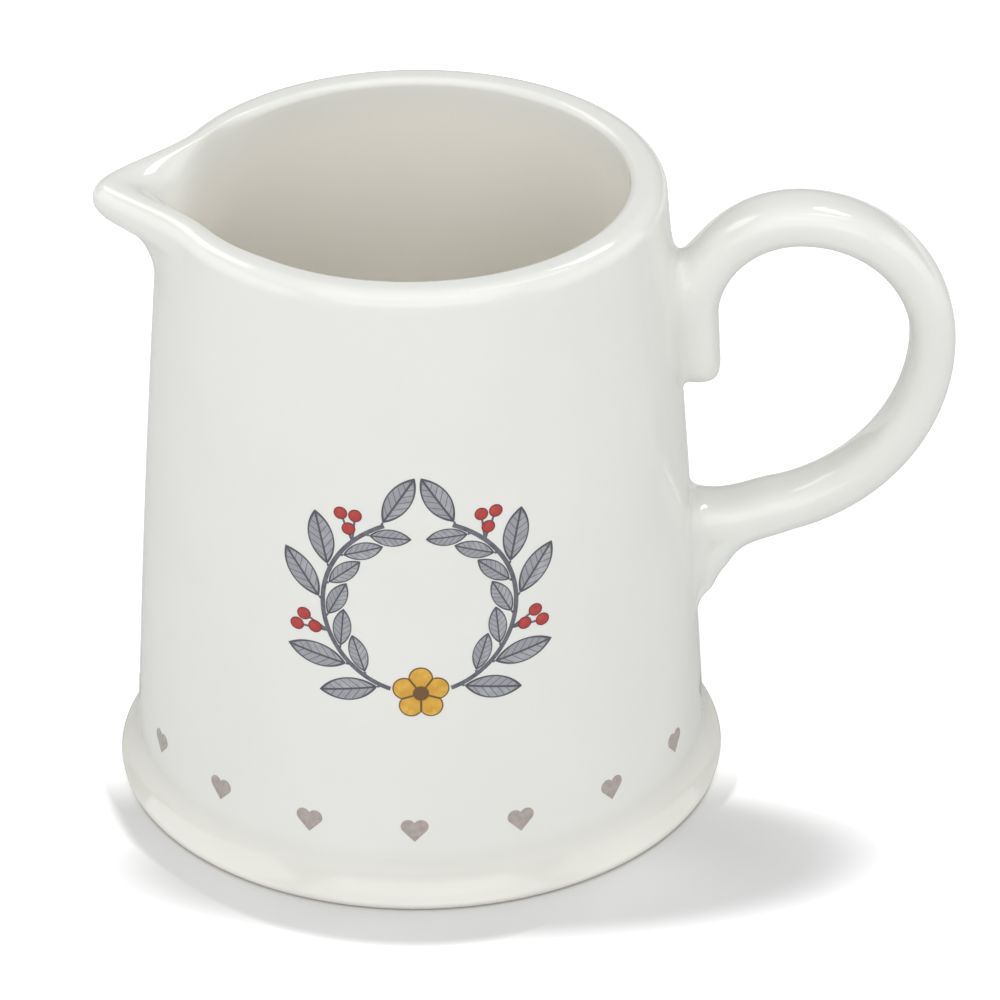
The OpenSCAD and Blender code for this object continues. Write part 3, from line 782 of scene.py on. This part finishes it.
ring, ask = newTree("heartRing", {"Geometry": ["Heart"], "Int": ["Count"], "Float": ["First Turn"],
                                  "Material": ["Ink"]})
seats = addNode(ring, "GeometryNodePoints", {"Count": ask["Count"], "Position": (0, 0, 0)})
index = addNode(ring, "GeometryNodeInputIndex")
share = addNode(ring, calc, {0: index, 1: ask["Count"]}, operation="DIVIDE")
angle = addNode(ring, calc, {0: share, 1: 2 * math.pi, 2: ask["First Turn"]}, operation="MULTIPLY_ADD")
about = addNode(ring, "ShaderNodeCombineXYZ", {2: angle})
spin = addNode(ring, "FunctionNodeEulerToRotation", {0: about})
copies = addNode(ring, "GeometryNodeInstanceOnPoints", {"Points": seats, "Instance": ask["Heart"],
                                                        "Rotation": spin})
endTree(ring, copies, ask["Ink"])

heartFlat = wafer("heartWafer", heartOutline(hearts["width"], hearts["lobeSteps"], hearts["sideSteps"]),
                  hearts["rings"], hearts["proud"])
heartSeat = (0, 0, hearts["height"])
firstHeart = pressPrint("firstHeart", heartFlat, inks["heart"], [heartSeat], [0.0], [(1, 1, 1)])
heartRow = bakeTree("heartTransfers", ring, {"Count": hearts["count"], "First Turn": hearts["turn"],
                                             "Ink": inks["heart"]["ink"]}, firstHeart.data)
clearAway(firstHeart)
settle(heartRow, "heart_print", "heart_transfers")

# the wreath: two branches rise from a flower, with leaves on both sides and berries at every third place
wreath = {
    "height": 60 * mm,
    "radius": 17 * mm,
    "stem": 0.8 * mm,
    "stemProud": 0.05 * mm,
    "stemSteps": 90,
    "stalk": 0.4 * mm,
    "stalkProud": 0.04 * mm,
    "stalkSteps": 6,
    "clear": 0.25 * mm,
    "leaf": (10.4 * mm, 4.5 * mm),
    "innerLeaf": (7.4 * mm, 3.3 * mm),
    "leafStalk": 0.6 * mm,
    "leafProud": 0.045 * mm,
    "leafSteps": 26,
    "rings": 5,
    "lean": math.radians(36),
    "pitch": 6.6 * mm,
    "berry": 2.4 * mm,
    "berrySpots": [(0.5, 0.75), (1.6, 1.2), (0.9, 2)],  # in berries along the branch and out from it
    "berryEvery": 3,
    "berryProud": 0.06 * mm,
    "berrySteps": 36,
    "flower": 5.2 * mm,
    "petal": 0.42,
    "petalSteps": 16,
    "flowerRings": 7,
    "flowerProud": 0.06 * mm,
}
step = wreath["pitch"] / wreath["radius"]
stemStart = 2 * math.asin((wreath["flower"] + wreath["clear"]) / (2 * wreath["radius"]))
firstPlace = stemStart + step / 3
leafEdge = wreath["stem"] / 2 + wreath["clear"]


def onBranch(a, r, along, side):
    x = r * math.sin(a) + along * math.cos(a)
    z = -r * math.cos(a) + along * math.sin(a)
    return (side * x, 0, wreath["height"] + z)


leafSeats, leafTurns, leafSizes, berrySeats, strokes = [], [], [], [], []


def addLeaf(bearing, lean, r, size, side):
    a = bearing + lean
    leafSeats.append(onBranch(bearing, r, 0, side))
    leafTurns.append(a if side > 0 else math.pi - a)
    leafSizes.append((size[0], 1, size[1]))
    strokes.append((onBranch(bearing, wreath["radius"], -wreath["leafStalk"], side), leafSeats[-1]))


def addBerries(bearing, side):
    for along, out in wreath["berrySpots"]:
        r = wreath["radius"] + wreath["stem"] / 2 + out * wreath["berry"]
        berrySeats.append(onBranch(bearing, r, along * wreath["berry"], side))
        strokes.append((onBranch(bearing, wreath["radius"], 0, side), berrySeats[-1]))


lastPlace = 0
outR, inR = wreath["radius"] + leafEdge, wreath["radius"] - leafEdge
for k in range(int((math.pi - firstPlace) / step) + 1):
    outer, inner = firstPlace + step * k, firstPlace + step * (k + 0.5)
    outTip = outR * math.sin(outer) + wreath["leaf"][0] * math.cos(outer - wreath["lean"])
    inTip = inR * math.sin(inner) + wreath["innerLeaf"][0] * math.cos(inner + wreath["lean"])
    for side in (1, -1):
        if outTip > wreath["clear"]:
            lastPlace = outer
            if (k + 1) % wreath["berryEvery"] == 0:
                addBerries(outer, side)
            else:
                addLeaf(outer, -wreath["lean"], outR, wreath["leaf"], side)
        if inTip > wreath["clear"]:
            addLeaf(inner, wreath["lean"], inR, wreath["innerLeaf"], side)

# stems and stalks as flat strips with a back
strip = {"points": [], "faces": [], "depth": []}


def addStrip(path, width, proud):
    base = len(strip["points"])
    for i, p in enumerate(path):
        before, after = path[max(0, i - 1)], path[min(len(path) - 1, i + 1)]
        d = Vector(after) - Vector(before)
        n = Vector((-d.z, 0, d.x)).normalized() * width / 2
        for lift in (proud, printBack):
            strip["points"] += [tuple(Vector(p) + n), tuple(Vector(p) - n)]
            strip["depth"] += [lift, lift]
    for i in range(len(path) - 1):
        a, b = base + 4 * i, base + 4 * i + 4
        for p, q in ((0, 1), (1, 3), (3, 2), (2, 0)):
            strip["faces"].append((a + p, a + q, b + q, b + p))
    strip["faces"] += [(base + 2, base + 3, base + 1, base), (b, b + 1, b + 3, b + 2)]


for side in (1, -1):
    bearings = [stemStart + (lastPlace - stemStart) * i / wreath["stemSteps"]
                for i in range(wreath["stemSteps"] + 1)]
    addStrip([onBranch(a, wreath["radius"], 0, side) for a in bearings], wreath["stem"], wreath["stemProud"])
for start, end in strokes:
    shares = [i / wreath["stalkSteps"] for i in range(wreath["stalkSteps"] + 1)]
    path = [tuple(Vector(start).lerp(Vector(end), t)) for t in shares]
    addStrip(path, wreath["stalk"], wreath["stalkProud"])
stemFlat = helper("stemStrips", strip["points"], (), strip["faces"], depth=strip["depth"])
stems = pressPrint("wreathStems", stemFlat, inks["stem"], [(0, 0, 0)], [0.0], [(1, 1, 1)])
settle(stems, "stem_print", "wreath_stems")


# pointed leaf between two arcs, one long and one wide
def leafOutline(steps):
    l, w = wreath["leaf"]
    r = (l * l + w * w) / (4 * w)
    top = []
    for i in range(steps + 1):
        x = l * (1 - math.cos(math.pi * i / steps)) / 2
        top.append((x / l, (math.sqrt(r * r - (x - l / 2) ** 2) - (r - w / 2)) / w))
    return top + [(x, -z) for x, z in reversed(top[1:-1])]


leafFlat = wafer("leafWafer", leafOutline(wreath["leafSteps"]), wreath["rings"], wreath["leafProud"])
leaves = pressPrint("wreathLeaves", leafFlat, inks["leaf"], leafSeats, leafTurns, leafSizes)
settle(leaves, "leaf_print", "wreath_leaves")

bearings = [2 * math.pi * i / wreath["berrySteps"] for i in range(wreath["berrySteps"])]
berryFlat = wafer("berryWafer", [(math.cos(a) / 2, math.sin(a) / 2) for a in bearings], wreath["rings"],
                  wreath["berryProud"])
berrySizes = [(wreath["berry"], 1, wreath["berry"])] * len(berrySeats)
berryTurns = [0.0] * len(berrySeats)
berries = pressPrint("wreathBerries", berryFlat, inks["berry"], berrySeats, berryTurns, berrySizes)
settle(berries, "berry_print", "wreath_berries")


# round petals about a middle
def flowerOutline(petal, steps):
    outline = []
    for i in range(petalCount * steps):
        a = 2 * math.pi * i / (petalCount * steps)
        d = (a + math.pi / petalCount) % (2 * math.pi / petalCount) - math.pi / petalCount
        far = (1 - petal) * math.cos(d) + math.sqrt(petal ** 2 - ((1 - petal) * math.sin(d)) ** 2)
        outline.append((far * math.cos(a + math.pi / 2), far * math.sin(a + math.pi / 2)))
    return outline


flowerFlat = wafer("flowerWafer", flowerOutline(wreath["petal"], wreath["petalSteps"]), wreath["flowerRings"],
                   wreath["flowerProud"])
flowerSeat = (0, 0, wreath["height"] - wreath["radius"])
flower = pressPrint("wreathFlower", flowerFlat, inks["flower"], [flowerSeat], [0.0],
                    [(wreath["flower"], 1, wreath["flower"])])
settle(flower, "flower_print", "wreath_flowers")

# pale studio floor: its camera glow makes it white away from the jug, and is held back in an oval in front of
# the foot and a ring round it, a painted shadow in which the lamps' soft shadow on the grey floor shows
studio = {
    "floor": "#d9d9d9",
    "roughness": 0.9,
    "half": 4,
    "drop": 0.05 * mm,
    "glow": 0.55,
    "shade": (14 * mm, -40 * mm, 0),  # middle of the oval in which the floor glows less, a painted shadow in which the lamps' shadow shows
    "shadeSize": (68 * mm, 25 * mm, 1),
    "shadeEdge": (0.8, 1.2),
    # ring round the foot in which the glow fades out: a painted contact shadow
    "contact": (57 * mm, 61 * mm),
    "contactShift": (0, -8 * mm, 0),
    "shadeBack": (-24 * mm, -6 * mm),
    "mirrored": (300 * mm, 1000 * mm),
    "sky": 0.1,
}
square = ((-1, -1), (1, -1), (1, 1), (-1, 1))
corners = [(x * studio["half"], y * studio["half"], -studio["drop"]) for x, y in square]
floor = helper("studioFloor", corners, (), [(0, 1, 2, 3)])
paper, tree, matt = newFinish("matt white paper")
matt.inputs["Base Color"].default_value = hexToLinear(studio["floor"])
matt.inputs["Roughness"].default_value = studio["roughness"]
matt.inputs["Specular IOR Level"].default_value = 0.0
place = addNode(tree, "ShaderNodeTexCoord").outputs["Object"]
inShade = addNode(tree, "ShaderNodeMapping", {"Vector": place, "Location": studio["shade"],
                                              "Scale": studio["shadeSize"]}, vector_type="TEXTURE")
inShade = addNode(tree, vectorCalc, {0: inShade}, operation="LENGTH").outputs["Value"]
fromFoot = addNode(tree, vectorCalc, {0: place, 1: studio["contactShift"]}, operation="DISTANCE")
fromFoot = fromFoot.outputs["Value"]
depth = addNode(tree, "ShaderNodeSeparateXYZ", {0: place}).outputs["Y"]
away = addNode(tree, vectorCalc, {0: place}, operation="LENGTH").outputs["Value"]
glows = {}
measures = {"shadeEdge": inShade, "contact": fromFoot, "shadeBack": depth, "mirrored": away}
for label, measure in measures.items():
    glows[label] = addNode(tree, mapRange, fade(measure, studio[label], studio["glow"]), **softly)
# where the glow is held back the grey floor shows: a painted shadow round the foot
near = addNode(tree, calc, {0: glows["shadeEdge"], 1: glows["contact"]}, operation="MINIMUM")
near = addNode(tree, calc, {0: near, 1: glows["shadeBack"]}, operation="MAXIMUM")
ray = addNode(tree, "ShaderNodeLightPath")
mirrored = addNode(tree, calc, {0: ray.outputs["Is Glossy Ray"], 1: ray.outputs["Is Transmission Ray"]},
                   operation="ADD", use_clamp=True)
seen = addNode(tree, calc, {0: ray.outputs["Is Camera Ray"], 1: near}, operation="MULTIPLY")
seen = addNode(tree, calc, {0: mirrored, 1: glows["mirrored"], 2: seen}, operation="MULTIPLY_ADD")
glow = addNode(tree, "ShaderNodeEmission", {"Strength": seen})
shown = addNode(tree, "ShaderNodeAddShader", {0: matt, 1: glow})
tree.links.new(shown.outputs[0], tree.nodes["Material Output"].inputs["Surface"])
floor.data.materials.append(paper)

world = bpy.data.worlds.new("studioSky")
scene.world = world
world.use_nodes = True
sky = world.node_tree.nodes["Background"]
sky.inputs["Color"].default_value = (1, 1, 1, 1)
sky.inputs["Strength"].default_value = studio["sky"]

# softboxes round the table: name, place, width, depth, and the light that each gives the jug
lamps = [
    ("backSoftbox", (0.42, 0.55, 0.92), 0.32, 0.18, 0.16),
    ("leftBackSoftbox", (-0.65, 0.6, 0.9), 0.5, 0.5, 0.14),
    ("leftSoftbox", (-1.05, -0.1, 0.4), 1.4, 0.7, 0.35),
    ("rightSoftbox", (1.05, -0.1, 0.4), 1.4, 0.7, 0.28),
    ("frontSoftbox", (0, -0.95, 1.05), 2.0, 1.6, 0.62),
    ("lowSoftbox", (0, -1.25, 0.6), 1.6, 0.8, 0.18),
    ("highSoftbox", (0, -0.35, 1.35), 1.2, 1.2, 0.2),
    ("stripSoftbox", (0.4, 0.12, 1.05), 0.06, 0.5, 0.05),
]
lampAim = Vector((0, 0, 0.05))
for name, place, width, depth, level in lamps:
    throw = lampAim - Vector(place)
    lamp = bpy.data.lights.new(name, "AREA")
    lamp.shape = "RECTANGLE"
    lamp.size, lamp.size_y = width, depth
    lamp.energy = level * math.pi ** 2 * throw.length_squared
    lampObj = bpy.data.objects.new(name, lamp)
    lampObj.location = place
    lampObj.rotation_euler = throw.to_track_quat("-Z", "Y").to_euler()
    scene.collection.objects.link(lampObj)

# the photograph's viewpoint: above the front, a long lens, turned by a hair
view = {
    "place": (0, -0.8646, 0.5624),
    "aim": (0.01508, 0, 0.05239),
    "roll": math.radians(-0.39),
    "lens": 196.6,
    "sensor": 36,
    "nearest": 0.05,
}
camera = bpy.data.cameras.new("studioCamera")
camera.lens, camera.sensor_width, camera.sensor_fit = view["lens"], view["sensor"], "HORIZONTAL"
camera.clip_start = view["nearest"]
cameraObj = bpy.data.objects.new("studioCamera", camera)
ahead = (Vector(view["aim"]) - Vector(view["place"])).normalized()
right = ahead.cross(Vector((0, 0, 1))).normalized()
above = right.cross(ahead)
tilted = right * math.cos(view["roll"]) + above * math.sin(view["roll"])
upright = above * math.cos(view["roll"]) - right * math.sin(view["roll"])
pose = Matrix((tilted, upright, -ahead)).transposed().to_4x4()
pose.translation = Vector(view["place"])
cameraObj.matrix_world = pose
scene.collection.objects.link(cameraObj)
scene.camera = cameraObj
print("camera, lights and floor set")
